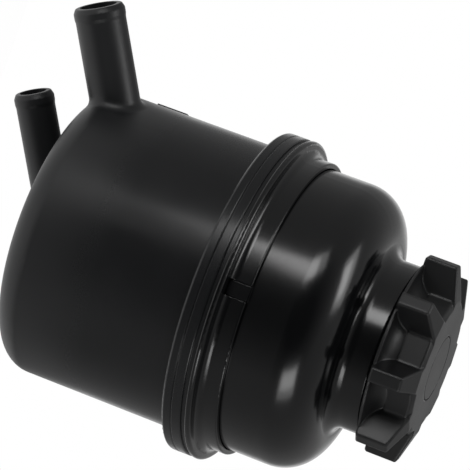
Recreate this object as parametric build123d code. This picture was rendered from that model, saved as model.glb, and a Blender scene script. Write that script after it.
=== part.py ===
from build123d import *
from math import cos, hypot, radians, sin, tan
import os

# Power steering fluid reservoir: a moulded canister with two hose nipples, a keyed collar
# that clamps the domed top, a lobed screw cap with a dipstick, and the filter inside.
# Millimetres. Heights are measured from the canister's underside along the body's axis, +Z
# towards the cap, and both nipples point to +X. The files are saved with the origin at the
# middle of the bracket's clamp band.

# canister
BODY_R = 50.0              # outside radius
BODY_DRAFT = 0.15          # how much smaller the inside radius is at the floor
BODY_WALL = 2.5
FLOOR = 3.0
FLOOR_ROUND = 8.9          # outside radius of the rounded bottom edge
FLANGE_OVER = 6.1          # how far the flange stands out from the wall
FLANGE_Z = 65.2            # underside of the canister flange
FLANGE_T = 7.0
FLANGE_LINE = 3.4          # height of the shallow parting groove above the flange's underside
PLATE_LEDGE = 1.5          # depth of the ledge that carries the baffle plate
LEDGE_OVER = 0.9           # how far that ledge is cut into the wall
WELD_RIB_INSET = 0.8       # from the flange's rim to the weld rib on it
WELD_RIB_W = 1.4
JOINT_GAP = 1.4            # height of the weld rib and of the dark joint line

CLAMP_LOW = 28.0           # the clamp band's wall runs from here to the flange's round
FLANGE_CURVE = 1.2         # round between the wall and the flange

PAD_AZ = -32.4             # small raised datum pad on the wall
PAD_W = 12.0
PAD_H = 11.0
PAD_Z = 16.5
PAD_T = 0.7

# hose nipples
NIPPLE_TILT = 24.6         # degrees below the floor plane
SUCTION_R = 8.4
SUCTION_BORE = 6.2
SUCTION_REACH = 28.5       # from the wall to the centre of the mouth
SUCTION_DROP = 4.6         # the mouth's centre lies this far below the underside
RETURN_R = 6.6
RETURN_BORE = 4.6
RETURN_REACH = 42.2        # from the axis to the centre of the mouth
RETURN_DROP = 20.1
RETURN_BOSS_R = 7.0        # boss under the floor that turns the flow into the nipple
RETURN_BOSS_DROP = 8.4
BEAD = 0.2                 # how far the hose bead stands proud
BEAD_L = 4.8               # length of the rounded end of a nipple
ROOT_ROUND = 3.5           # round between the suction nipple and the wall

# spigot in the middle of the floor
SPIGOT_R = 8.5
SPIGOT_TOP = 17.0
SPIGOT_FOOT_R = 10.5
SPIGOT_FOOT_TOP = 8.0

# collar
COLLAR_WALL = 1.65
COLLAR_OVER = 0.1          # how far its flange stands out past the canister's
COLLAR_FLANGE_T = 1.8
COLLAR_H = 9.4
COLLAR_GAP = 0.35          # radial gap between the collar and the dome
KEY_AZ = 66.4              # azimuth of the key notch
KEY_W = 4.9
KEY_H = 7.5
KEY_GAP = 0.3

# dome
DOME_INSET = 0.6           # how much smaller its radius is than the canister's
DOME_WALL = 2.4
DOME_LIP_OVER = 3.8        # how far the clamped lip stands out
DOME_LIP_T = 1.5
DOME_H = 38.6              # from the lip to the top of the shoulder
SHOULDER_FLAT = 0.8        # flat ring between the shoulder's round and the neck's
NECK_BORE = 25.4
NECK_WALL = 4.0
NECK_H = 11.0
NECK_ROUND = 4.2           # concave round between shoulder and neck
STRAINER_SEAT = 2.8        # width of the ledge in the neck that carries the strainer
STRAINER_DEPTH = 12.8      # from the neck's top down to that ledge

# screw thread
PITCH = 3.2
THREAD_H = 1.4             # height of the thread inside the neck
THREAD_ROOM = 0.6          # from a thread's crest to the wall that it faces, on the plug
THREAD_GAP = 0.5           # and in the neck
THREAD_FOOT = 1.6          # width at the foot of the thread
THREAD_CREST = 0.9
THREAD_DEPTH = 7.4         # from the neck's top down to the start of its thread
NECK_TURNS = 1.75
PLUG_TURNS = 1.2

# cap
CAP_RAISE = 0.55           # gap between the neck's top and the cap's rim
CAP_H = 14.75
CAP_RIM_OVER = 2.3         # how far the rim stands out past the neck
CAP_RIM_T = 1.1
RIM_ROUND = 0.45
LOBES = 8
LOBE_AZ = -7.1             # azimuth of the first lobe
LOBE_OVER = 3.0            # how far a lobe's tip stands out past the rim
LOBE_TIP_W = 4.8
LOBE_FOOT_W = 8.5
LOBE_DROP = 3.3            # how much lower a lobe is at its tip
LOBE_ROUND = 0.8
CORE_ROUND = 0.7
LOBE_FLARE = 1.2           # hollow round where a lobe's side meets a flat
PANEL_OVER = 0.1           # how far the flat between two lobes stands out past the plug
PANEL_RISE = 5.65          # height of the flats' foot above the rim's underside
PANEL_EDGE = 1.0           # height of the sloped edge above the flats
HOLLOW_OUT = 3.1           # middle of the skirt's hollow curve, out from the flats
HOLLOW_RISE = 2.45         # and up from the rim's underside
CAP_WALL = 2.3
PLUG_L = 10.75             # length of the plug below the rim's underside
DISC_R = 11.0
DISC_T = 1.2
DISC_GAP = 0.3
GASKET_INSET = 0.5         # from the neck's outside to the gasket's
GASKET_LAP = 0.4           # from the neck's bore to the gasket's inside
GASKET_T = 1.4
STICK_W = 5.0
STICK_T = 1.6
STICK_L = 27.0             # length of the dipstick below the plug
LOW_MARK = 6.0             # heights of the level marks above the dipstick's foot
COLD_MARK = 11.0
HOT_MARK = 17.0
BOSS_R = 5.0

# strainer in the neck
BASKET_GAP = 2.1           # from the hole in the neck's ledge to the basket
BASKET_H = 30.4
BASKET_RIBS = 6
MESH_T = 0.5

# filter and its spring
FLUID_GAP = 13.5           # from the canister's wall to the filter
FILTER_Z = 9.0             # underside of the filter's lower end cap
FILTER_CAP_T = 2.0
PLEATS = 30
CORE_R = 16.0
CORE_T = 1.4
SPRING_R = 20.0
SPRING_WIRE = 1.0          # radius of the wire
SPRING_TURNS = 3
SPRING_H = 15.7
FLOW_HOLE_R = 3.2          # holes in the baffle plate
FLOW_HOLE_EDGE = 9.1       # from the plate's rim to the outer row
INNER_HOLE_R = 2.6
VALVE_HOLE = 5.5
VALVE_R = 7.4

FIT = 0.05                 # clearance of seated round fits
SLACK = 0.3                # clearance between pieces that must move freely

# heights and radii that follow, from the canister up to the cap
CLAMP_Z = (CLAMP_LOW + FLANGE_Z - FLANGE_CURVE) / 2
FLANGE_TOP = FLANGE_Z + FLANGE_T
COLLAR_Z = FLANGE_TOP + JOINT_GAP
LEDGE_Z = FLANGE_TOP - PLATE_LEDGE
BORE_R = BODY_R - BODY_WALL
LEDGE_R = BORE_R + LEDGE_OVER
FLANGE_R = BODY_R + FLANGE_OVER
WELD_RIB_R = FLANGE_R - WELD_RIB_INSET
DOME_R = BODY_R - DOME_INSET
DOME_IN = DOME_R - DOME_WALL
DOME_LIP_R = DOME_R + DOME_LIP_OVER
COLLAR_R = DOME_R + COLLAR_GAP + COLLAR_WALL
COLLAR_FLANGE_R = FLANGE_R + COLLAR_OVER
COLLAR_TOP = COLLAR_Z + COLLAR_H
KEY_BOTTOM = COLLAR_TOP - KEY_H
NECK_R = NECK_BORE + NECK_WALL
DOME_TOP = COLLAR_Z + DOME_H
SHOULDER_ROUND = DOME_R - NECK_R - NECK_ROUND - SHOULDER_FLAT
NECK_TOP = DOME_TOP + NECK_H
NECK_THREAD_IN = NECK_BORE - THREAD_H
PLUG_THREAD_OUT = NECK_BORE - THREAD_GAP
NECK_THREAD_Z = NECK_TOP - THREAD_DEPTH
STRAINER_LEDGE_Z = NECK_TOP - STRAINER_DEPTH
STRAINER_HOLE_R = NECK_BORE - STRAINER_SEAT
BASKET_R = STRAINER_HOLE_R - BASKET_GAP
BASKET_BOTTOM = STRAINER_LEDGE_Z - BASKET_H
CAP_BOTTOM = NECK_TOP + CAP_RAISE
CAP_TOP = CAP_BOTTOM + CAP_H
CAP_RIM_R = NECK_R + CAP_RIM_OVER
LOBE_R = CAP_RIM_R + LOBE_OVER
LOBE_TOP = CAP_TOP - LOBE_DROP
PLUG_R = NECK_THREAD_IN - THREAD_ROOM
PLUG_IN = PLUG_R - CAP_WALL
PLUG_BOTTOM = CAP_BOTTOM - PLUG_L
PANEL_R = PLUG_R + PANEL_OVER
PANEL_BOTTOM = CAP_BOTTOM + PANEL_RISE
PANEL_TOP = CAP_TOP - PANEL_EDGE
GASKET_IN = NECK_BORE + GASKET_LAP
GASKET_OUT = NECK_R - GASKET_INSET
STICK_BOTTOM = PLUG_BOTTOM - STICK_L
SUCTION_MOUTH = (BODY_R + SUCTION_REACH, -SUCTION_DROP)
RETURN_MOUTH = (RETURN_REACH, -RETURN_DROP)
FILTER_R = BORE_R - FLUID_GAP
MEDIA_Z = FILTER_Z + FILTER_CAP_T
SEAT_TOP = LEDGE_Z - SPRING_H
FILTER_TOP_Z = SEAT_TOP - FILTER_CAP_T
MEDIA_H = FILTER_TOP_Z - MEDIA_Z
SPRING_SEAT_R = SPRING_R - SPRING_WIRE - SLACK


def turned(points, rounds=()):
    """Revolve a closed outline of (radius, height) points; rounds lists (corner, radius)."""
    face = make_face(Polyline(*points, close=True))
    for (r, z), radius in rounds:
        corner = face.vertices().sort_by_distance((r, z, 0))[0]
        face = fillet(corner, radius)
    return revolve(Rot(90, 0, 0) * face, axis=Axis.Z)


def tube(r_out, r_in, z_low, height):
    """Plain ring between two radii."""
    return turned([(r_in, z_low), (r_out, z_low), (r_out, z_low + height), (r_in, z_low + height)])


def disc(r, z_low, height):
    """Plain round disc."""
    return Pos(0, 0, z_low + height / 2) * Cylinder(r, height)


def around(count, start=0.0):
    """Rotations about Z that spread count copies evenly."""
    return [Rot(0, 0, start + 360.0 * i / count) for i in range(count)]


def block(x0, x1, width, z0, z1):
    """Upright block from x0 to x1, centred on the XZ plane."""
    return Pos((x0 + x1) / 2, 0, (z0 + z1) / 2) * Box(x1 - x0, width, z1 - z0)


def mouth(point):
    """Frame at a nipple's mouth whose own Z runs inwards along the nipple."""
    return Pos(point[0], 0, point[1]) * Rot(0, NIPPLE_TILT - 90, 0)


def thread(root_r, crest_r, z_start, turns):
    """One helical ridge; the foot is sunk a little into the wall that carries it."""
    sink = 0.25 if crest_r > root_r else -0.25
    path = Helix(PITCH, PITCH * turns, root_r, center=(0, 0, z_start))
    a, b = THREAD_FOOT / 2, THREAD_CREST / 2
    outline = Polyline((root_r - sink, -a), (crest_r, -b), (crest_r, b), (root_r - sink, a), close=True)
    section = Pos(0, 0, z_start) * Rot(90, 0, 0) * make_face(outline)
    return sweep(section, path=path, is_frenet=True)


def away(edge):
    """Distance of an edge's middle from the Z axis."""
    return hypot(edge.center().X, edge.center().Y)


def save(name, shape):
    export_step(Pos(0, 0, -CLAMP_Z) * shape, "parts/" + name + ".step")


def make_canister():
    foot = BORE_R - BODY_DRAFT
    groove = 0.35
    line = FLANGE_Z + FLANGE_LINE
    inner_rib = WELD_RIB_R - WELD_RIB_W
    body = Rot(0, 0, 180) * turned(
        [(0, 0), (BODY_R, 0), (BODY_R, FLANGE_Z), (FLANGE_R, FLANGE_Z),
         (FLANGE_R, line - groove), (FLANGE_R - groove, line),
         (FLANGE_R, line + groove), (FLANGE_R, FLANGE_TOP),
         (WELD_RIB_R, FLANGE_TOP), (WELD_RIB_R, COLLAR_Z), (inner_rib, COLLAR_Z),
         (inner_rib, FLANGE_TOP), (0, FLANGE_TOP)],
        [((BODY_R, 0), FLOOR_ROUND), ((BODY_R, FLANGE_Z), FLANGE_CURVE), ((FLANGE_R, FLANGE_Z), 1.0),
         ((FLANGE_R, FLANGE_TOP), 0.5)])
    # suction nipple, rounded into the wall and the floor's rounded edge, on the seamless side
    reach = (SUCTION_MOUTH[0] - BODY_R) / cos(radians(NIPPLE_TILT))
    body += mouth(SUCTION_MOUTH) * nipple(SUCTION_R, reach + 8)
    body = fillet(root_edges(body), ROOT_ROUND)
    # raised datum pad on the far side of the wall
    pad = Rot(0, 0, PAD_AZ) * block(BODY_R - 1.5, BODY_R + 3, PAD_W, PAD_Z, PAD_Z + PAD_H)
    body += pad & disc(BODY_R + PAD_T, PAD_Z - 1, PAD_H + 2)
    # return nipple: it meets a rounded boss under the middle of the floor
    run = RETURN_MOUTH[0] / cos(radians(NIPPLE_TILT))
    body += mouth(RETURN_MOUTH) * nipple(RETURN_R, run)
    low = -RETURN_BOSS_DROP
    body += turned([(0, low), (RETURN_BOSS_R, low), (SPIGOT_FOOT_R, 1.0), (0, 1.0)],
                   [((RETURN_BOSS_R, low), 4.5)])
    web_r, web_z = RETURN_REACH / 2, -RETURN_DROP / 3
    web = make_face(Polyline((2, 1), (web_r + 5, 1), (web_r, web_z), (2, web_z), close=True))
    body += Pos(0, 1.25, 0) * Rot(90, 0, 0) * extrude(web, 2.5)
    # inside: drafted wall, ledge for the baffle plate, and the spigot that is left standing
    body -= turned(
        [(SPIGOT_FOOT_R, FLOOR), (foot, FLOOR), (BORE_R, LEDGE_Z), (LEDGE_R, LEDGE_Z),
         (LEDGE_R, FLANGE_TOP + 1), (0, FLANGE_TOP + 1), (0, SPIGOT_TOP), (SPIGOT_R, SPIGOT_TOP),
         (SPIGOT_R, SPIGOT_FOOT_TOP), (SPIGOT_FOOT_R, SPIGOT_FOOT_TOP)],
        [((foot, FLOOR), FLOOR_ROUND - BODY_WALL), ((SPIGOT_FOOT_R, FLOOR), 1.5),
         ((SPIGOT_R, SPIGOT_TOP), 0.8)])
    # bores
    body -= mouth(SUCTION_MOUTH) * disc(SUCTION_BORE, -1, reach + 10)
    body -= mouth(RETURN_MOUTH) * disc(RETURN_BORE, -1, run + 1)
    body -= disc(RETURN_BORE, -RETURN_BORE / 3, SPIGOT_TOP + 3)
    return body


def nipple(radius, reach):
    """Hose nipple along its own Z: rounded end with a low bead, then a plain stem."""
    bead = radius + BEAD
    return turned(
        [(0, 0), (radius - 0.6, 0), (bead, 1.7), (bead, BEAD_L - 1.2), (radius, BEAD_L),
         (radius, reach), (0, reach)],
        [((radius - 0.6, 0), 0.8), ((bead, 1.7), 1.2), ((bead, BEAD_L - 1.2), 0.8),
         ((radius, BEAD_L), 0.8)])


def root_edges(body):
    """Edges where the suction nipple leaves the outside of the canister."""
    found = []
    for edge in body.edges():
        point = edge.center()
        outside = BODY_R - 4 < away(edge) < BODY_R + 6
        if outside and abs(point.Y) < SUCTION_R + 2 and 0 < point.Z < 3 * SUCTION_R and point.X > 0:
            found.append(edge)
    return found


def make_collar():
    inside = DOME_R + COLLAR_GAP
    pocket = DOME_LIP_R + COLLAR_GAP
    shoulder = COLLAR_Z + DOME_LIP_T + FIT
    top = COLLAR_Z + COLLAR_FLANGE_T
    ring = turned(
        [(pocket, COLLAR_Z), (COLLAR_FLANGE_R, COLLAR_Z), (COLLAR_FLANGE_R, top), (COLLAR_R, top + 0.4),
         (COLLAR_R, COLLAR_TOP), (inside, COLLAR_TOP), (inside, shoulder), (pocket, shoulder)],
        [((COLLAR_FLANGE_R, COLLAR_Z), 0.4), ((COLLAR_FLANGE_R, top), 1.1), ((COLLAR_R, top + 0.4), 2.6),
         ((COLLAR_R, COLLAR_TOP), 0.5)])
    width = KEY_W + 2 * KEY_GAP
    notch = block(inside - 3, COLLAR_R + 4, width, KEY_BOTTOM, COLLAR_TOP + 1)
    return ring - Rot(0, 0, KEY_AZ) * notch


def make_dome():
    top = DOME_TOP
    dome = turned(
        [(DOME_IN, COLLAR_Z), (DOME_LIP_R, COLLAR_Z), (DOME_LIP_R, COLLAR_Z + DOME_LIP_T),
         (DOME_R, COLLAR_Z + DOME_LIP_T), (DOME_R, top), (NECK_R, top), (NECK_R, NECK_TOP),
         (NECK_BORE, NECK_TOP), (NECK_BORE, STRAINER_LEDGE_Z), (STRAINER_HOLE_R, STRAINER_LEDGE_Z),
         (STRAINER_HOLE_R, top - DOME_WALL - 1.6), (STRAINER_HOLE_R + 6, top - DOME_WALL - 1.6),
         (STRAINER_HOLE_R + 9, top - DOME_WALL), (DOME_IN, top - DOME_WALL)],
        [((DOME_R, top), SHOULDER_ROUND), ((NECK_R, top), NECK_ROUND), ((NECK_R, NECK_TOP), 0.6),
         ((DOME_IN, top - DOME_WALL), SHOULDER_ROUND - DOME_WALL), ((NECK_BORE, NECK_TOP), 0.5)])
    # key tab that fills the collar's notch and holds the dome against turning
    tab = Rot(0, 0, KEY_AZ) * block(DOME_R - 1.2, COLLAR_R + 3, KEY_W, KEY_BOTTOM + KEY_GAP, COLLAR_TOP)
    dome += tab & tube(COLLAR_R - 0.05, DOME_R - 1.2, KEY_BOTTOM, 10)
    dome += thread(NECK_BORE, NECK_THREAD_IN, NECK_THREAD_Z, NECK_TURNS)
    return dome


def lobe_plan():
    """A lobe at azimuth zero seen from above: narrow flat tip, sides that widen to the core."""
    foot, tip = LOBE_FOOT_W / 2, LOBE_TIP_W / 2
    inner = PANEL_R - 5.5
    return make_face(Polyline((inner, -foot - 1), (PANEL_R, -foot), (LOBE_R, -tip),
                              (LOBE_R, tip), (PANEL_R, foot), (inner, foot + 1), close=True))


def lobe():
    """One grip lobe at azimuth zero, lower at its tip, with rounded edges."""
    inner = PANEL_R - 5.5
    low = CAP_BOTTOM + 0.4
    side = Polyline((inner, low), (LOBE_R - 0.5, low), (LOBE_R + 1, low + 1.5),
                    (LOBE_R + 1, LOBE_TOP - 0.3), (PANEL_R, CAP_TOP), (inner, CAP_TOP), close=True)
    body = extrude(Pos(0, 0, CAP_BOTTOM - 5) * lobe_plan(), CAP_H + 10)
    body &= Pos(0, 20, 0) * Rot(90, 0, 0) * extrude(make_face(side), 40)
    rounded = []
    for edge in body.edges():
        point = edge.center()
        ridge = point.Z > LOBE_TOP and point.X > PANEL_R + 1.5
        if ridge or point.X > LOBE_R - 4.5:
            rounded.append(edge)
    return fillet(rounded, LOBE_ROUND)


def make_cap():
    # skirt: rim, then a hollow curve up to the foot of the flats
    middle = (PANEL_R + HOLLOW_OUT, CAP_BOTTOM + HOLLOW_RISE)
    arc = ThreePointArc((CAP_RIM_R, CAP_BOTTOM + CAP_RIM_T), middle, (PANEL_R, PANEL_BOTTOM))
    seat = NECK_TOP + GASKET_T
    recess = GASKET_OUT + SLACK
    lines = Polyline((PANEL_R, PANEL_BOTTOM), (PANEL_R, PANEL_BOTTOM + 1), (PLUG_IN, PANEL_BOTTOM + 1),
                     (PLUG_IN, PLUG_BOTTOM), (PLUG_R, PLUG_BOTTOM), (PLUG_R, seat), (recess, seat),
                     (recess, CAP_BOTTOM), (CAP_RIM_R, CAP_BOTTOM), (CAP_RIM_R, CAP_BOTTOM + CAP_RIM_T))
    section = make_face(Curve() + [arc, lines])
    for z in (CAP_BOTTOM, CAP_BOTTOM + CAP_RIM_T):
        corner = section.vertices().sort_by_distance((CAP_RIM_R, z, 0))[0]
        section = fillet(corner, RIM_ROUND)
    skirt = revolve(Rot(90, 0, 0) * section, axis=Axis.Z)
    # core with one flat between each pair of lobes, flared where the lobes stand on it
    plan = RegularPolygon(PANEL_R, LOBES, major_radius=False, rotation=LOBE_AZ)
    for turn in around(LOBES, LOBE_AZ):
        plan += turn * lobe_plan()
    corners = []
    for corner in plan.vertices():
        if PANEL_R - 1 < hypot(corner.X, corner.Y) < PANEL_R + 1:
            corners.append(corner)
    plan = fillet(corners, LOBE_FLARE) & Circle(PANEL_R / cos(radians(180.0 / LOBES)) + 0.4)
    core = extrude(Pos(0, 0, PANEL_BOTTOM) * plan, CAP_TOP - PANEL_BOTTOM)
    core &= turned([(0, PANEL_BOTTOM), (LOBE_R + 5, PANEL_BOTTOM), (PANEL_R + 2, PANEL_TOP - 1.0),
                    (PANEL_R - 1.8, CAP_TOP), (0, CAP_TOP)], [((PANEL_R - 1.8, CAP_TOP), CORE_ROUND)])
    # sloped and rounded upper edge
    flat = 2 * PANEL_R * tan(radians(180.0 / LOBES)) - LOBE_FOOT_W - 2 * LOBE_FLARE
    brows = []
    for edge in core.edges():
        if 0.8 * flat < edge.length < 1.2 * flat and PANEL_TOP - 1 < edge.center().Z < PANEL_TOP + 0.5:
            brows.append(edge)
    core = fillet(brows, CORE_ROUND)
    cap = skirt + core
    for turn in around(LOBES, LOBE_AZ):
        cap += turn * lobe()
    # hollow inside, dipstick boss, recess and vent holes under the centre disc
    roof = CAP_TOP - DISC_T - 1.0 - CAP_WALL
    cap -= disc(PLUG_IN, PLUG_BOTTOM - 1, roof - PLUG_BOTTOM + 1)
    cap -= tube(GASKET_OUT + SLACK, PLUG_R, CAP_BOTTOM - 1, seat - CAP_BOTTOM + 1)
    cap -= disc(DISC_R + DISC_GAP, CAP_TOP - DISC_T, DISC_T + 1)
    cap -= tube(DISC_R - 0.8, BOSS_R, CAP_TOP - DISC_T - 1.0, 2.0)
    cap += tube(BOSS_R, STICK_W / 2 + 0.4, PLUG_BOTTOM + 6, roof - PLUG_BOTTOM - 6)
    for turn in around(4, 45):
        cap -= turn * Pos(BOSS_R + 2.4, 0, roof + 1) * Cylinder(0.9, 8)
        cap += turn * block(BOSS_R - 0.3, PLUG_IN + 0.3, 1.4, roof - 3.5, roof)
    cap += thread(PLUG_R, PLUG_THREAD_OUT, NECK_THREAD_Z + PITCH / 2, PLUG_TURNS)
    return cap


def make_cap_disc():
    return turned([(0, CAP_TOP - DISC_T), (DISC_R, CAP_TOP - DISC_T), (DISC_R, CAP_TOP), (0, CAP_TOP)],
                  [((DISC_R, CAP_TOP), 0.3)])


def make_vent_membrane():
    floor = CAP_TOP - DISC_T - 1.0
    return tube(DISC_R - 1.3, BOSS_R + FIT, floor, 0.6)


def make_dipstick():
    top = CAP_TOP - DISC_T - 1.0 - CAP_WALL
    grip = PLUG_BOTTOM + 6
    shank = disc(STICK_W / 2 + 0.4 - FIT, grip, top - grip)
    blade = Pos(0, 0, (STICK_BOTTOM + grip) / 2 + 0.5) * Box(STICK_W, STICK_T, grip - STICK_BOTTOM + 1)
    # level marks: pairs of notches for full and low, and a hole near the foot
    for mark in (LOW_MARK, COLD_MARK, HOT_MARK):
        for x in (-STICK_W / 2, STICK_W / 2):
            blade -= Pos(x, 0, STICK_BOTTOM + mark) * Rot(0, 45, 0) * Box(1.0, 3, 1.0)
    blade -= Pos(0, 0, STICK_BOTTOM + 3.0) * Rot(90, 0, 0) * Cylinder(0.9, 4)
    return shank + blade


def make_strainer_frame():
    flange = tube(NECK_BORE - SLACK, BASKET_R - 1.5, STRAINER_LEDGE_Z, 1.4)
    frame = flange + tube(BASKET_R, BASKET_R - 1.5, STRAINER_LEDGE_Z - 4, 4.5)
    frame += turned([(0, BASKET_BOTTOM), (BASKET_R, BASKET_BOTTOM), (BASKET_R, BASKET_BOTTOM + 3),
                     (BASKET_R - 1.5, BASKET_BOTTOM + 3), (BASKET_R - 1.5, BASKET_BOTTOM + 1.5),
                     (0, BASKET_BOTTOM + 1.5)])
    rib = block(BASKET_R - 1.5, BASKET_R, 1.8, BASKET_BOTTOM + 2, STRAINER_LEDGE_Z - 3)
    for turn in around(BASKET_RIBS, 15):
        frame += turn * rib
    return frame


def make_strainer_mesh():
    return tube(BASKET_R - 1.5, BASKET_R - 1.5 - MESH_T, BASKET_BOTTOM + 1.5,
                STRAINER_LEDGE_Z - BASKET_BOTTOM - 3)


def make_gasket():
    return turned([(GASKET_IN, NECK_TOP), (GASKET_OUT, NECK_TOP), (GASKET_OUT, NECK_TOP + GASKET_T),
                   (GASKET_IN, NECK_TOP + GASKET_T)], [((GASKET_OUT, NECK_TOP), 0.3)])


def make_joint_seal():
    inner = WELD_RIB_R - WELD_RIB_W
    return tube(inner - FIT, LEDGE_R + 0.8, FLANGE_TOP, JOINT_GAP)


def make_baffle_plate():
    rim = LEDGE_R - SLACK
    plate = turned([(0, LEDGE_Z), (rim, LEDGE_Z), (rim, COLLAR_Z), (rim - 1.6, COLLAR_Z),
                    (rim - 1.6, LEDGE_Z + 1.6), (0, LEDGE_Z + 1.6)])
    # spring seat under the plate and two rows of flow holes
    plate += tube(SPRING_SEAT_R, SPRING_SEAT_R - 1.5, LEDGE_Z - 2.5, 3)
    outer_row = rim - FLOW_HOLE_EDGE
    inner_row = (outer_row + SPRING_R) / 2 - 0.5
    for turn in around(12):
        plate -= turn * Pos(outer_row, 0, LEDGE_Z) * Cylinder(FLOW_HOLE_R, 8)
        plate -= turn * Rot(0, 0, 15) * Pos(inner_row, 0, LEDGE_Z) * Cylinder(INNER_HOLE_R, 8)
    plate -= disc(9.5, LEDGE_Z - 2, 6)
    return plate


def make_filter_seal():
    return turned([(SPIGOT_R, SPIGOT_FOOT_TOP), (SPIGOT_R + 4.5, SPIGOT_FOOT_TOP),
                   (SPIGOT_R + 4.5, FILTER_Z), (SPIGOT_R + 2.2, FILTER_Z), (SPIGOT_R + 2.2, MEDIA_Z),
                   (SPIGOT_R + 3.6, MEDIA_Z), (SPIGOT_R + 3.6, MEDIA_Z + 1.2), (SPIGOT_R, MEDIA_Z + 1.2)],
                  [((SPIGOT_R + 3.6, MEDIA_Z + 1.2), 0.8)])


def make_lower_end_cap():
    return turned([(SPIGOT_R + 2.2, FILTER_Z), (FILTER_R, FILTER_Z), (FILTER_R, MEDIA_Z + 4),
                   (FILTER_R - 1.4, MEDIA_Z + 4), (FILTER_R - 1.4, MEDIA_Z), (SPIGOT_R + 2.2, MEDIA_Z)],
                  [((FILTER_R, FILTER_Z), 1.0)])


def make_upper_end_cap():
    lip = FILTER_R - 1.4
    cap = turned([(VALVE_HOLE, FILTER_TOP_Z), (lip, FILTER_TOP_Z), (lip, FILTER_TOP_Z - 4),
                  (FILTER_R, FILTER_TOP_Z - 4), (FILTER_R, SEAT_TOP), (VALVE_HOLE, SEAT_TOP)],
                 [((FILTER_R, SEAT_TOP), 1.0)])
    cap += tube(SPRING_SEAT_R, SPRING_SEAT_R - 1.5, SEAT_TOP - 0.2, 2.2)
    # valve cage: three legs and a top ring that backs the valve's spring
    top = SEAT_TOP + 9.0
    cap += tube(VALVE_R + 2.2, 2.2, top, 1.4)
    for turn in around(3, 30):
        cap += turn * block(VALVE_R + 0.6, VALVE_R + 2.2, 3.0, SEAT_TOP - 0.2, top + 1)
    return cap


def make_media():
    """Pleated paper between the end caps, drawn as one folded band."""
    low, high = CORE_R + CORE_T + 0.1, FILTER_R - 1.6
    half = 180.0 / PLEATS
    thick = 0.55
    ring = []
    for k in range(2 * PLEATS):
        r = high if k % 2 else low + 2 * thick
        ring.append((r * cos(radians(k * half)), r * sin(radians(k * half))))
    inner = []
    for k in range(2 * PLEATS):
        r = high - 2.6 if k % 2 else low
        inner.append((r * cos(radians(k * half)), r * sin(radians(k * half))))
    band = make_face(Polyline(*ring, close=True)) - make_face(Polyline(*inner, close=True))
    return extrude(Pos(0, 0, MEDIA_Z) * band, MEDIA_H)


def make_core_tube():
    core = tube(CORE_R + CORE_T, CORE_R, MEDIA_Z, MEDIA_H)
    row = [turn * Pos(CORE_R, 0, 0) * Rot(0, 90, 0) * Cylinder(2.0, 8) for turn in around(6)]
    for level in range(5):
        z = MEDIA_Z + 6 + (MEDIA_H - 12) / 4 * level
        core -= Pos(0, 0, z) * Rot(0, 0, 30 * (level % 2)) * Compound(children=row)
    return core


def coil(radius, wire, z_low, z_high, turns):
    """Compression spring between two heights, measured over the wire."""
    rise = z_high - z_low - 2 * wire
    path = Helix(rise / turns, rise, radius, center=(0, 0, z_low + wire))
    section = Pos(radius, 0, z_low + wire) * Rot(90, 0, 0) * Circle(wire)
    return sweep(section, path=path, is_frenet=True)


def make_filter_spring():
    return coil(SPRING_R, SPRING_WIRE, SEAT_TOP, LEDGE_Z, SPRING_TURNS)


def make_valve_disc():
    z = SEAT_TOP
    return turned([(0, z), (VALVE_R, z), (VALVE_R, z + 1.2), (2.6, z + 1.2), (2.6, z + 3.2), (0, z + 3.2)],
                  [((VALVE_R, z + 1.2), 0.4)])


def make_valve_spring():
    return coil(4.6, 0.45, SEAT_TOP + 1.2, SEAT_TOP + 9.0, 4)


os.makedirs("parts", exist_ok=True)
save("canister", make_canister())
save("collar", make_collar())
save("dome", make_dome())
save("cap_body", make_cap())
save("cap_disc", make_cap_disc())
save("vent_membrane", make_vent_membrane())
save("dipstick", make_dipstick())
save("cap_gasket", make_gasket())
save("joint_seal", make_joint_seal())
save("baffle_plate", make_baffle_plate())
save("strainer_frame", make_strainer_frame())
save("strainer_mesh", make_strainer_mesh())
save("filter_seal", make_filter_seal())
save("filter_lower_cap", make_lower_end_cap())
save("filter_upper_cap", make_upper_end_cap())
save("filter_media", make_media())
save("filter_core_tube", make_core_tube())
save("filter_spring", make_filter_spring())
save("bypass_valve_disc", make_valve_disc())
save("bypass_valve_spring", make_valve_spring())
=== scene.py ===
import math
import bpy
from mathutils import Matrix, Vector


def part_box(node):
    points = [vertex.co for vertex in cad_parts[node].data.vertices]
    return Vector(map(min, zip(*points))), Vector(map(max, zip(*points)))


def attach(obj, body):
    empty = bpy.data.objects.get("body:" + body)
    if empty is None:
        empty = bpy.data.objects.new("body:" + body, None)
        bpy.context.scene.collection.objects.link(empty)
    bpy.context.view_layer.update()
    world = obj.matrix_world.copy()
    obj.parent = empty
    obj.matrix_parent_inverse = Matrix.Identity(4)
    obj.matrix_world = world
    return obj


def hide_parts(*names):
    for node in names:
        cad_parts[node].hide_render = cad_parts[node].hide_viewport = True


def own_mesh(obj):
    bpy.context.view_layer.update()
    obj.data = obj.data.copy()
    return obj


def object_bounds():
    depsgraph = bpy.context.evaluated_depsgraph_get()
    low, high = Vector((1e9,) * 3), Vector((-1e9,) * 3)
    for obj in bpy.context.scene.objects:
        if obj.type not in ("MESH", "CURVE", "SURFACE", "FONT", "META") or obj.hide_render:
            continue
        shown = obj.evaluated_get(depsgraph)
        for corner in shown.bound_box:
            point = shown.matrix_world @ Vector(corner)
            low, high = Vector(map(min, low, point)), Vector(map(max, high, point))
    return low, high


bl_info = {
    "name": "Steering Fluid Reservoir",
    "version": (1, 0, 0),
    "blender": (4, 5, 0),
    "location": "3D View > Sidebar > Reservoir",
    "description": "Finishes for a moulded steering fluid reservoir, its strainer and a studio",
    "category": "Object",
}

import bpy
from bpy.props import FloatProperty, FloatVectorProperty, IntProperty, PointerProperty
from mathutils import Matrix, Vector

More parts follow.
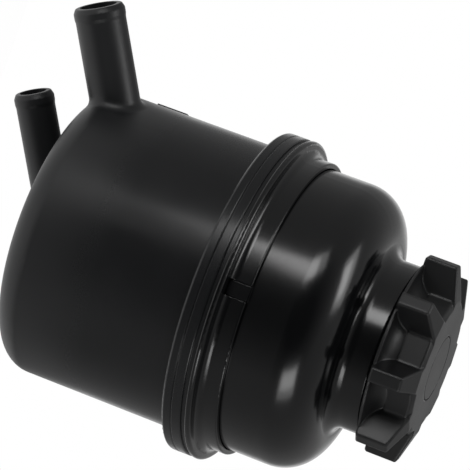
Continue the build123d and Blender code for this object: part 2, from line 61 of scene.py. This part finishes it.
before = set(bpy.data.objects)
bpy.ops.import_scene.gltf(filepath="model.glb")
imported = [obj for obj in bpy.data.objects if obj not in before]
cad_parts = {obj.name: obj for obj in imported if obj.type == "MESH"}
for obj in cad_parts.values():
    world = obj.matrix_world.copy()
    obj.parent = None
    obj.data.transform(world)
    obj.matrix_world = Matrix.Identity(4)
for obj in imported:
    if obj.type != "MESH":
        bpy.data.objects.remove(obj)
CAD_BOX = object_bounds()
MESH_LOW, MESH_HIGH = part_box("strainer_mesh")
SPRING_LOW, SPRING_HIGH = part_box("bypass_valve_spring")
UP = Vector((0, 0, 1))

# Moulded skins
FLOW_PITCH = 0.030            # metres between the faint flow marks
GRAIN_PITCH = 0.0004          # metres between the pits of the grain
FADE_LOW, FADE_HIGH = -0.040, -0.012    # heights on the canister between which its grain fades
CANISTER_EDGE = 0.5           # the canister's bevel, as a share of the edge round
CANISTER_IOR = 1.44
NYLON_IOR = 1.53
DOME_GRAIN = 0.1              # the smooth dome's grain, as a share of the grain depth
EDGE_START, EDGE_FULL = 0.995, 0.90     # cosines of the bevel's turn between which an edge polishes and its colour is lightened as a painted highlight
BEVEL_SAMPLES = 6

# Strainer
THREAD_SIDES = 4
WEAVE_INSET = 1.1             # threads from the mesh's outside to the middle of the weave

# The camera stands where the photograph was taken from, with its long lens and its roll
CAMERA_PLACE = Vector((0.34127, 0.81849, 0.24210))
CAMERA_RIGHT = Vector((0.24008, -0.34306, 0.90811))
CAMERA_UP = Vector((0.90409, -0.26168, -0.33787))
CAMERA_BACK = Vector((0.35354, 0.90214, 0.24734))
CAMERA_LENS = 210.0
CAMERA_SENSOR = 36.0
CAMERA_SHIFT = (-0.0199, -0.0013)
CAMERA_REACH = 20.0

# Each lamp's turn and rise in degrees from the camera's direction, its distance, width and
# height in metres, and its watts
LAMPS = {
    "key_middle": (0, 39, 0.6, 0.21, 0.17, 0.53),
    "key_edge": (9, 39, 0.6, 0.35, 0.19, 0.47),
    "key_spill": (-31, 37, 0.6, 0.24, 0.24, 0.07),
    "low_middle": (6, -49, 1.0, 0.46, 0.26, 1.1),
    "low_edge": (5, -53, 1.0, 0.56, 0.42, 1.3),
    "side_middle": (74, 3, 1.0, 0.22, 0.36, 1.0),
    "side_edge": (77, 3, 1.0, 0.40, 0.56, 1.6),
}
FLOOR_RADIUS = 1.6
FLOOR_SIDES = 96
FLOOR_GLOW = 0.75             # lifts the pale floor to white paper for the camera
# Cosines of the angle to the camera's direction: the dim front's rim and core, and the paper's
FRONT_RIM, FRONT_CORE = 0.50, 0.92
PAPER_CORE, PAPER_RIM = -0.97, -0.85


class ReservoirPlastics(bpy.types.PropertyGroup):
    """Colours and gloss of the moulded plastics."""

    canister_colour: FloatVectorProperty(
        name="Canister Colour", description="Base colour of the satin canister",
        subtype="COLOR", size=3, min=0, max=1, default=(0.0068, 0.0072, 0.0080))
    canister_gloss: FloatProperty(
        name="Canister Roughness", description="Roughness of the canister's satin surface",
        subtype="FACTOR", min=0, max=1, default=0.24)
    canister_matt: FloatProperty(
        name="Canister Lower Roughness", description="Roughness of the nipples and the lower wall",
        subtype="FACTOR", min=0, max=1, default=0.46)
    dome_colour: FloatVectorProperty(
        name="Dome Colour", description="Base colour of the glossier dome and collar",
        subtype="COLOR", size=3, min=0, max=1, default=(0.0028, 0.0030, 0.0034))
    dome_gloss: FloatProperty(
        name="Dome Roughness", description="Roughness of the dome's smooth surface",
        subtype="FACTOR", min=0, max=1, default=0.18)
    cap_colour: FloatVectorProperty(
        name="Cap Colour", description="Base colour of the screw cap",
        subtype="COLOR", size=3, min=0, max=1, default=(0.0048, 0.0050, 0.0054))
    cap_gloss: FloatProperty(
        name="Cap Roughness", description="Roughness of the screw cap's satin surface",
        subtype="FACTOR", min=0, max=1, default=0.40)
    edge_round: FloatProperty(
        name="Edge Round", description="Rounding that the moulded edges catch light on",
        unit="LENGTH", min=0, max=0.002, precision=5, default=0.0004)
    cap_edge_round: FloatProperty(
        name="Cap Edge Round", description="Rounding of the softer edges of the cap's lobes",
        unit="LENGTH", min=0, max=0.002, precision=5, default=0.0009)
    grain_depth: FloatProperty(
        name="Grain Depth", description="Height of the moulded grain",
        unit="LENGTH", min=0, max=0.0002, precision=6, default=0.000004)


class ReservoirInside(bpy.types.PropertyGroup):
    """Colours, wire and threads of what is inside."""

    nylon_colour: FloatVectorProperty(
        name="Nylon Colour", description="Natural nylon of the strainer, filter and baffle",
        subtype="COLOR", size=3, min=0, max=1, default=(0.50, 0.49, 0.45))
    stick_colour: FloatVectorProperty(
        name="Dipstick Colour", description="Natural plastic of the dipstick",
        subtype="COLOR", size=3, min=0, max=1, default=(0.62, 0.60, 0.54))
    rubber_colour: FloatVectorProperty(
        name="Rubber Colour", description="Nitrile rubber of the seals",
        subtype="COLOR", size=3, min=0, max=1, default=(0.012, 0.012, 0.012))
    paper_colour: FloatVectorProperty(
        name="Paper Colour", description="Resin-treated filter paper",
        subtype="COLOR", size=3, min=0, max=1, default=(0.72, 0.62, 0.40))
    steel_colour: FloatVectorProperty(
        name="Steel Colour", description="Drawn wire of the filter's and the valve's springs",
        subtype="COLOR", size=3, min=0, max=1, default=(0.55, 0.56, 0.58))
    zinc_colour: FloatVectorProperty(
        name="Zinc Colour", description="Zinc plating of the bypass valve's disc",
        subtype="COLOR", size=3, min=0, max=1, default=(0.60, 0.61, 0.60))
    valve_wire: FloatProperty(
        name="Valve Spring Wire", description="Radius of the wire of the bypass valve's spring",
        unit="LENGTH", min=0.0001, max=0.001, precision=5, default=0.00045)
    valve_turns: FloatProperty(
        name="Valve Spring Turns", description="Turns of the bypass valve's spring",
        min=2, max=8, default=4.5)
    thread_colour: FloatVectorProperty(
        name="Mesh Colour", description="Nylon threads of the strainer's mesh",
        subtype="COLOR", size=3, min=0, max=1, default=(0.72, 0.71, 0.66))
    thread_size: FloatProperty(
        name="Thread Size", description="Thickness of one thread of the strainer's mesh",
        unit="LENGTH", min=0.00005, max=0.0005, precision=5, default=0.00022)
    upright_threads: IntProperty(
        name="Upright Threads", description="Threads that run up the strainer, an even number",
        min=12, max=200, default=72)
    ring_threads: IntProperty(
        name="Ring Threads", description="Threads that run round the strainer",
        min=4, max=80, default=18)


class ReservoirStudio(bpy.types.PropertyGroup):
    """Floor, lamps and room."""

    floor_colour: FloatVectorProperty(
        name="Floor Colour", description="Colour of the plain pale floor",
        subtype="COLOR", size=3, min=0, max=1, default=(0.80, 0.80, 0.80))
    floor_drop: FloatProperty(
        name="Floor Drop", description="Height of the held part above the floor",
        unit="LENGTH", min=0, max=2, default=0.60)
    lamp_level: FloatProperty(
        name="Lamp Level", description="Brightness of every lamp together",
        min=0, max=10, default=1.0)
    room_level: FloatProperty(
        name="Room Level", description="Brightness of the grey room round the part",
        min=0, max=1, default=0.30)
    front_level: FloatProperty(
        name="Front Level", description="Brightness of the dim side of the room, behind the camera",
        min=0, max=1, default=0.03)


def new_material(name):
    """A node material; returns it with its node tree and its shader."""
    material = bpy.data.materials.new(name)
    material.use_nodes = True
    tree = material.node_tree
    return material, tree, tree.nodes["Principled BSDF"]


def feed(tree, socket, value):
    """Links a socket to another node's, or sets it."""
    if isinstance(value, bpy.types.NodeSocket):
        tree.links.new(value, socket)
    else:
        socket.default_value = value


def add(tree, kind, **inputs):
    """One node, with its named inputs set or linked."""
    node = tree.nodes.new(kind)
    for key, value in inputs.items():
        feed(tree, node.inputs[key.replace("_", " ")], value)
    return node


def surface_place(tree):
    """The point of the surface, in metres."""
    return tree.nodes.new("ShaderNodeTexCoord").outputs["Object"]


def ramp(tree, value, low, high, out_low, out_high):
    """A value stretched from one range to another."""
    node = add(tree, "ShaderNodeMapRange", Value=value,
               From_Min=low, From_Max=high, To_Min=out_low, To_Max=out_high)
    return node.outputs["Result"]


def wander(tree, cloud, low, high):
    """A number that goes from low to high with a noise, most of which lies from 0.3 to 0.7."""
    return ramp(tree, cloud, 0.3, 0.7, low, high)


def combine(tree, operation, first, second, clamp=False):
    """Two values put together by one Math node."""
    node = tree.nodes.new("ShaderNodeMath")
    node.operation = operation
    node.use_clamp = clamp
    tree.links.new(first, node.inputs[0])
    tree.links.new(second, node.inputs[1])
    return node.outputs["Value"]


def highest(tree, *values):
    """The largest of several values."""
    best = values[0]
    for value in values[1:]:
        best = combine(tree, "MAXIMUM", best, value)
    return best


def alignment(tree, first, second):
    """How far two directions agree, from -1 to 1."""
    node = tree.nodes.new("ShaderNodeVectorMath")
    node.operation = "DOT_PRODUCT"
    feed(tree, node.inputs[0], first)
    feed(tree, node.inputs[1], second)
    return node.outputs["Value"]


def noise(tree, place, pitch, detail=2.0, rough=0.5):
    """Noise whose features are about pitch metres apart."""
    node = add(tree, "ShaderNodeTexNoise",
               Vector=place, Scale=1.0 / pitch, Detail=detail, Roughness=rough)
    return node.outputs["Fac"]


def shade(colour, factor):
    """The same colour, lighter or darker, with a full alpha."""
    return (*(min(1.0, c * factor) for c in colour), 1.0)


def tint(tree, mask, dark, light):
    """Colour between two, led by a mask."""
    node = tree.nodes.new("ShaderNodeMix")
    node.data_type = "RGBA"
    tree.links.new(mask, node.inputs["Factor"])
    feed(tree, node.inputs["A"], dark)
    feed(tree, node.inputs["B"], light)
    return node.outputs["Result"]


def relief(tree, height, strength, distance):
    """A node that raises the surface by a height from 0 to 1, over a distance in metres."""
    return add(tree, "ShaderNodeBump", Height=height, Strength=strength, Distance=distance)


def dress(tree, shader, colour, roughness, bump):
    """Gives the shader its colour, its roughness and its relief."""
    tree.links.new(colour, shader.inputs["Base Color"])
    tree.links.new(roughness, shader.inputs["Roughness"])
    tree.links.new(bump.outputs["Normal"], shader.inputs["Normal"])


def edge_mask(tree, rounded):
    """Near 1 along outer edges, where hands and tools polish a moulding and where a painted
    highlight lightens its colour.
    """
    flat = tree.nodes.new("ShaderNodeNewGeometry").outputs["Normal"]
    return ramp(tree, alignment(tree, rounded, flat), EDGE_START, EDGE_FULL, 0.0, 1.0)


def moulded_plastic(name, colour, roughness, grain, edge_round, ior=1.5, low_roughness=None):
    """Black moulded plastic: fine sparked grain, faint flow marks, edges polished by handling and a
    painted highlight that lightens the edges' colour.

    A low_roughness makes the surface below FADE_LOW duller, as the grain of a tool fades upward.
    """
    material, tree, shader = new_material(name)
    place = surface_place(tree)
    bevel = add(tree, "ShaderNodeBevel", Radius=edge_round)
    bevel.samples = BEVEL_SAMPLES
    rounded = bevel.outputs["Normal"]
    edges = edge_mask(tree, rounded)
    flow = noise(tree, place, FLOW_PITCH, 3.0)
    pits = noise(tree, place, GRAIN_PITCH, 2.0, 0.6)
    skin = tint(tree, flow, shade(colour, 0.85), shade(colour, 1.2))
    # painted highlight with some wear: the colour is lightened along the edges, where rounded edges
    # catch the light
    wear_and_painted_highlight = tint(tree, ramp(tree, edges, 0.0, 1.0, 0.0, 0.5), skin, shade(colour, 1.8))
    matt = wander(tree, flow, roughness - 0.03, roughness + 0.03)
    if low_roughness is not None:
        height = add(tree, "ShaderNodeSeparateXYZ", Vector=place).outputs["Z"]
        dull = ramp(tree, height, FADE_LOW, FADE_HIGH, low_roughness - roughness, 0.0)
        matt = combine(tree, "ADD", matt, dull)
    speckled = combine(tree, "ADD", matt, wander(tree, pits, -0.02, 0.02))
    polish = ramp(tree, edges, 0.0, 1.0, 0.0, 0.05)
    bump = relief(tree, pits, 0.5, grain)
    tree.links.new(rounded, bump.inputs["Normal"])
    dress(tree, shader, wear_and_painted_highlight, combine(tree, "SUBTRACT", speckled, polish, clamp=True), bump)
    shader.inputs["IOR"].default_value = ior
    return material


def natural_plastic(name, colour, roughness):
    """Undyed moulded nylon with soft flow marks and fine pits."""
    material, tree, shader = new_material(name)
    place = surface_place(tree)
    flow = noise(tree, place, 0.012, 3.0)
    dress(tree, shader, tint(tree, flow, shade(colour, 0.88), shade(colour, 1.08)),
          wander(tree, flow, roughness - 0.05, roughness + 0.06),
          relief(tree, noise(tree, place, 0.0006), 0.4, 0.000008))
    shader.inputs["IOR"].default_value = NYLON_IOR
    return material


def nitrile_rubber(name, colour):
    """Matt seal rubber with a dusty bloom."""
    material, tree, shader = new_material(name)
    place = surface_place(tree)
    bloom = noise(tree, place, 0.004, 4.0)
    dress(tree, shader, tint(tree, bloom, shade(colour, 1.0), shade(colour, 2.0)),
          wander(tree, bloom, 0.62, 0.78),
          relief(tree, noise(tree, place, 0.0003), 0.5, 0.00001))
    return material


def filter_paper(name, colour):
    """Resin-treated paper with a felted surface."""
    material, tree, shader = new_material(name)
    felt = noise(tree, surface_place(tree), 0.0007, 5.0, 0.7)
    dress(tree, shader, tint(tree, felt, shade(colour, 0.75), shade(colour, 1.15)),
          wander(tree, felt, 0.78, 0.92), relief(tree, felt, 0.7, 0.00005))
    return material


def plain_metal(name, colour, roughness, streak):
    """Drawn or plated steel; a streak above 1 flattens its marks into rings round the axis."""
    material, tree, shader = new_material(name)
    stretched = add(tree, "ShaderNodeMapping",
                    Vector=surface_place(tree), Scale=(1.0, 1.0, streak))
    lines = noise(tree, stretched.outputs["Vector"], 0.002, 4.0)
    dress(tree, shader, tint(tree, lines, shade(colour, 0.8), shade(colour, 1.1)),
          wander(tree, lines, roughness - 0.08, roughness + 0.08),
          relief(tree, lines, 0.3, 0.00001))
    shader.inputs["Metallic"].default_value = 1.0
    return material


def new_object(name, data):
    """An object of the scene's own, with its mesh, lamp or camera."""
    thing = bpy.data.objects.new(name, data)
    bpy.context.scene.collection.objects.link(thing)
    return thing


def new_piece(name, points, faces, material):
    """A smooth-shaded mesh object."""
    mesh = bpy.data.meshes.new(name)
    mesh.from_pydata(points, [], faces)
    if mesh.validate():
        raise RuntimeError(name + " has bad faces")
    mesh.materials.append(material)
    mesh.shade_smooth()
    return new_object(name, mesh)


def finish_nodes(material, *nodes):
    """Gives CAD nodes their material."""
    for node in nodes:
        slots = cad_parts[node].data.materials
        slots.clear()
        slots.append(material)


class RESERVOIR_OT_canister(bpy.types.Operator):
    """Satin finish of the canister with its two hose nipples"""

    bl_idname = "reservoir.canister"
    bl_label = "Canister"

    def execute(self, context):
        own = context.scene.reservoir_plastics
        finish_nodes(moulded_plastic(
            "canister_black", own.canister_colour, own.canister_gloss, own.grain_depth,
            own.edge_round * CANISTER_EDGE, CANISTER_IOR, own.canister_matt), "canister")
        return {"FINISHED"}


class RESERVOIR_OT_dome(bpy.types.Operator):
    """Smoother finish of the dome and the collar that holds it"""

    bl_idname = "reservoir.dome"
    bl_label = "Dome and Collar"

    def execute(self, context):
        own = context.scene.reservoir_plastics
        finish_nodes(moulded_plastic(
            "dome_black", own.dome_colour, own.dome_gloss, own.grain_depth * DOME_GRAIN,
            own.edge_round), "dome", "collar")
        return {"FINISHED"}


class RESERVOIR_OT_cap(bpy.types.Operator):
    """Satin finish of the lobed cap and its centre disc"""

    bl_idname = "reservoir.cap"
    bl_label = "Screw Cap"

    def execute(self, context):
        own = context.scene.reservoir_plastics
        finish_nodes(moulded_plastic(
            "cap_black", own.cap_colour, own.cap_gloss, own.grain_depth,
            own.cap_edge_round), "cap_body", "cap_disc")
        return {"FINISHED"}


class RESERVOIR_OT_seals(bpy.types.Operator):
    """Rubber of the gasket, the seals and the vent membrane"""

    bl_idname = "reservoir.seals"
    bl_label = "Seals"

    def execute(self, context):
        own = context.scene.reservoir_inside
        finish_nodes(nitrile_rubber("seal_rubber", own.rubber_colour),
                     "cap_gasket", "joint_seal", "filter_seal", "vent_membrane")
        return {"FINISHED"}


class RESERVOIR_OT_inside(bpy.types.Operator):
    """Nylon, paper and steel of the dipstick, filter, baffle and bypass valve"""

    bl_idname = "reservoir.inside"
    bl_label = "Filter and Dipstick"

    def execute(self, context):
        own = context.scene.reservoir_inside
        finish_nodes(natural_plastic("inner_nylon", own.nylon_colour, roughness=0.42),
                     "strainer_frame", "baffle_plate", "filter_lower_cap", "filter_upper_cap",
                     "filter_core_tube")
        finish_nodes(natural_plastic("stick_natural", own.stick_colour, roughness=0.38),
                     "dipstick")
        finish_nodes(filter_paper("filter_paper", own.paper_colour), "filter_media")
        finish_nodes(plain_metal("spring_steel", own.steel_colour, roughness=0.32, streak=1.0),
                     "filter_spring")
        finish_nodes(plain_metal("zinc_steel", own.zinc_colour, roughness=0.40, streak=8.0),
                     "bypass_valve_disc")
        return {"FINISHED"}


def outward_at(angle):
    """Level direction away from the part's axis."""
    return Vector((math.cos(angle), math.sin(angle), 0))


def add_wire(points, faces, path, radius, sides, closed=False):
    """Adds a wire along a path of middles, each with the two directions of its section."""
    first, count = len(points), len(path)
    for middle, outward, across in path:
        for k in range(sides):
            turn = 2 * math.pi * k / sides
            spoke = outward * (radius * math.cos(turn)) + across * (radius * math.sin(turn))
            points.append(middle + spoke)
    for i in range(count if closed else count - 1):
        here, there = first + sides * i, first + sides * ((i + 1) % count)
        for k in range(sides):
            n = (k + 1) % sides
            faces.append((here + k, there + k, there + n, here + n))
    if not closed:
        last = first + sides * (count - 1)
        faces.append(tuple(first + k for k in range(sides)))
        faces.append(tuple(last + k for k in reversed(range(sides))))


def coil(radius, wire, low, high, turns, steps=28, sides=12):
    """Vertices and faces of a compression spring whose end turns lie flat."""
    points, faces, path = [], [], []
    rise = high - low - 2 * wire
    count = int(turns * steps)
    for i in range(count + 1):
        part = i / count
        # the pitch eases to nothing at both ends
        level = part - math.sin(2 * math.pi * part) / (2 * math.pi)
        outward = outward_at(2 * math.pi * turns * part)
        path.append((outward * radius + UP * (low + wire + rise * level), outward, UP))
    add_wire(points, faces, path, wire, sides)
    return points, faces


class RESERVOIR_OT_valve_spring(bpy.types.Operator):
    """Spring of the bypass valve, built at one length; the real spring shortens as the valve lifts
    """

    bl_idname = "reservoir.valve_spring"
    bl_label = "Bypass Valve Spring"

    def execute(self, context):
        own = context.scene.reservoir_inside
        points, faces = coil(SPRING_HIGH.x - own.valve_wire, own.valve_wire,
                             SPRING_LOW.z, SPRING_HIGH.z, own.valve_turns)
        piece = new_piece("valve_spring", points, faces, plain_metal(
            "valve_spring_steel", own.steel_colour, roughness=0.30, streak=1.0))
        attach(piece, "reservoir")
        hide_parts("bypass_valve_spring")
        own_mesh(piece)
        return {"FINISHED"}


def ring_side(upright, ring):
    """1 where a thread round the strainer passes outside an upright one, and -1 where inside."""
    return 1 if (upright + ring) % 2 else -1


def woven_tube(middle, low, high, uprights, rings, thread):
    """Vertices and faces of a plain weave on a cylinder: threads up it and threads round it."""
    points, faces = [], []
    half = thread / 2
    step = (high - low) / (2 * rings)
    for i in range(uprights):
        outward = outward_at(2 * math.pi * i / uprights)
        path = []
        for k in range(2 * rings + 1):
            side = -ring_side(i, k // 2) if k % 2 else 0
            path.append((outward * (middle + side * half) + UP * (low + step * k),
                         outward, outward.cross(UP)))
        add_wire(points, faces, path, half, THREAD_SIDES)
    for i in range(rings):
        path = []
        for k in range(2 * uprights):
            outward = outward_at(math.pi * k / uprights)
            side = 0 if k % 2 else ring_side(k // 2, i)
            path.append((outward * (middle + side * half) + UP * (low + step * (2 * i + 1)),
                         outward, UP))
        add_wire(points, faces, path, half, THREAD_SIDES, closed=True)
    return points, faces


class RESERVOIR_OT_strainer(bpy.types.Operator):
    """Woven mesh inside the strainer's frame"""

    bl_idname = "reservoir.strainer"
    bl_label = "Strainer Mesh"

    def execute(self, context):
        own = context.scene.reservoir_inside
        points, faces = woven_tube(
            MESH_HIGH.x - own.thread_size * WEAVE_INSET, MESH_LOW.z + own.thread_size,
            MESH_HIGH.z - own.thread_size, own.upright_threads, own.ring_threads, own.thread_size)
        piece = new_piece("woven_strainer", points, faces, natural_plastic(
            "mesh_nylon", own.thread_colour, roughness=0.45))
        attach(piece, "reservoir")
        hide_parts("strainer_mesh")
        return {"FINISHED"}


def seen_from_camera(right, up, back):
    """A direction given as the photographer sees it: to the right, up, and back to the camera."""
    return (CAMERA_RIGHT * right + CAMERA_UP * up + CAMERA_BACK * back).normalized()


def softbox(name, turn, rise, distance, width, height, watts, aim):
    """Rectangular lamp at a distance from what it is aimed at, facing it."""
    t, r = math.radians(turn), math.radians(rise)
    away = seen_from_camera(math.sin(t) * math.cos(r), math.sin(r), math.cos(t) * math.cos(r))
    light = bpy.data.lights.new(name, "AREA")
    light.shape = "RECTANGLE"
    light.size = width
    light.size_y = height
    light.energy = watts
    lamp = new_object(name, light)
    lamp.location = aim + away * distance
    across = CAMERA_UP.cross(away).normalized()
    tall = away.cross(across)
    lamp.rotation_euler = Matrix((across, tall, away)).transposed().to_euler()
    lamp.visible_camera = False


def studio_world(room_level, front_level):
    """White paper to the camera; to the part, the paper behind it, a grey room and a dim front."""
    world = bpy.data.worlds.new("studio")
    bpy.context.scene.world = world
    world.use_nodes = True
    tree = world.node_tree
    glow = tree.nodes["Background"]
    direction = tree.nodes.new("ShaderNodeTexCoord").outputs["Generated"]
    facing = alignment(tree, direction, CAMERA_BACK)
    room = ramp(tree, facing, FRONT_RIM, FRONT_CORE, room_level, front_level)
    rays = tree.nodes.new("ShaderNodeLightPath").outputs
    behind = ramp(tree, facing, PAPER_CORE, PAPER_RIM, 1.0, 0.0)
    paper = combine(tree, "MULTIPLY", behind, rays["Is Glossy Ray"])
    level = highest(tree, rays["Is Camera Ray"], rays["Is Transmission Ray"], paper, room)
    glow.inputs["Color"].default_value = (1, 1, 1, 1)
    tree.links.new(level, glow.inputs["Strength"])


def floor_material(colour):
    """Pale floor that the camera sees as white paper, with its shadow."""
    material, tree, shader = new_material("pale_floor")
    shader.inputs["Base Color"].default_value = (*colour, 1.0)
    shader.inputs["Roughness"].default_value = 0.9
    shader.inputs["Specular IOR Level"].default_value = 0.0
    rays = tree.nodes.new("ShaderNodeLightPath").outputs
    seen = highest(tree, rays["Is Camera Ray"], rays["Is Glossy Ray"], rays["Is Transmission Ray"])
    shader.inputs["Emission Color"].default_value = (1, 1, 1, 1)
    lift = ramp(tree, seen, 0.0, 1.0, 0.0, FLOOR_GLOW)
    tree.links.new(lift, shader.inputs["Emission Strength"])
    return material


def lay_floor(colour, height):
    """Round floor under the part."""
    mesh = bpy.data.meshes.new("floor")
    turns = [2 * math.pi * k / FLOOR_SIDES for k in range(FLOOR_SIDES)]
    rim = [(FLOOR_RADIUS * math.cos(turn), FLOOR_RADIUS * math.sin(turn), height) for turn in turns]
    mesh.from_pydata(rim, [], [tuple(range(FLOOR_SIDES))])
    mesh.materials.append(floor_material(colour))
    floor = new_object("floor", mesh)


def place_camera():
    """Camera of the photograph's view."""
    data = bpy.data.cameras.new("camera")
    data.lens = CAMERA_LENS
    data.sensor_width = CAMERA_SENSOR
    data.shift_x, data.shift_y = CAMERA_SHIFT
    data.clip_end = CAMERA_REACH
    camera = new_object("camera", data)
    turn = Matrix((CAMERA_RIGHT, CAMERA_UP, CAMERA_BACK)).transposed()
    camera.matrix_world = Matrix.Translation(CAMERA_PLACE) @ turn.to_4x4()
    bpy.context.scene.camera = camera


class RESERVOIR_OT_stage(bpy.types.Operator):
    """Plain pale floor, soft studio lamps and the camera"""

    bl_idname = "reservoir.stage"
    bl_label = "Studio"

    def execute(self, context):
        own = context.scene.reservoir_studio
        lay_floor(own.floor_colour, CAD_BOX[0].z - own.floor_drop)
        studio_world(own.room_level, own.front_level)
        middle = (CAD_BOX[0] + CAD_BOX[1]) / 2
        for name, (turn, rise, distance, width, height, watts) in LAMPS.items():
            softbox(name, turn, rise, distance, width, height, watts * own.lamp_level, middle)
        place_camera()
        context.scene.view_settings.view_transform = "Standard"
        return {"FINISHED"}


class RESERVOIR_PT_panel(bpy.types.Panel):
    """Buttons and settings in the sidebar"""

    bl_idname = "RESERVOIR_PT_panel"
    bl_label = "Steering Fluid Reservoir"
    bl_space_type = "VIEW_3D"
    bl_region_type = "UI"
    bl_category = "Reservoir"

    def draw(self, context):
        layout = self.layout
        for operator in OPERATORS:
            layout.operator(operator.bl_idname)
        for name, group in GROUPS.items():
            box = layout.box()
            box.label(text=group.__doc__)
            for key in group.__annotations__:
                box.prop(getattr(context.scene, name), key)


OPERATORS = (RESERVOIR_OT_canister, RESERVOIR_OT_dome, RESERVOIR_OT_cap, RESERVOIR_OT_seals,
             RESERVOIR_OT_inside, RESERVOIR_OT_valve_spring, RESERVOIR_OT_strainer,
             RESERVOIR_OT_stage)
GROUPS = {"reservoir_plastics": ReservoirPlastics, "reservoir_inside": ReservoirInside,
          "reservoir_studio": ReservoirStudio}


def register():
    for cls in (*GROUPS.values(), *OPERATORS, RESERVOIR_PT_panel):
        bpy.utils.register_class(cls)
    for name, group in GROUPS.items():
        setattr(bpy.types.Scene, name, PointerProperty(type=group))


def unregister():
    for name in GROUPS:
        delattr(bpy.types.Scene, name)
    for cls in reversed((*GROUPS.values(), *OPERATORS, RESERVOIR_PT_panel)):
        bpy.utils.unregister_class(cls)


def main():
    register()
    bpy.ops.reservoir.canister()
    bpy.ops.reservoir.dome()
    bpy.ops.reservoir.cap()
    bpy.ops.reservoir.seals()
    bpy.ops.reservoir.inside()
    bpy.ops.reservoir.valve_spring()
    bpy.ops.reservoir.strainer()
    bpy.ops.reservoir.stage()


if __name__ == "__main__":
    main()
